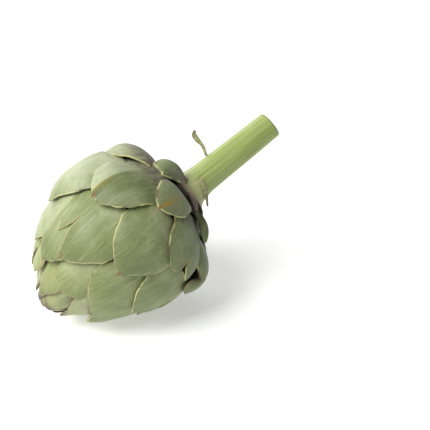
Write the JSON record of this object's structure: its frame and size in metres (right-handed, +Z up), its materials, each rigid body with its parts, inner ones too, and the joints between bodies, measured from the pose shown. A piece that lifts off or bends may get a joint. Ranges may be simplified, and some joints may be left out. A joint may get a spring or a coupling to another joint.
{
  "type": "globe artichoke",
  "caption": "Fresh globe artichoke bud lying on its side, with broad overlapping green bracts closed over a solid head and a thick ribbed piece of cut stem.",
  "frame": {"origin": "Centre of the bounding box seen from above, on the surface that the artichoke lies on.", "axes": "+X runs from the tip of the bud to the cut end of the stem, seen from above; the stem rises at about 39 degrees above it. +Y is across the head. +Z is up."},
  "size_m": [0.1674, 0.1066, 0.1067],
  "materials": {
    "bract_skin": "satin",
    "stem_skin": "satin"
  },
  "bodies": {
    "root": {"head": "bract_skin", "stem": "stem_skin"}
  },
  "joints": []
}
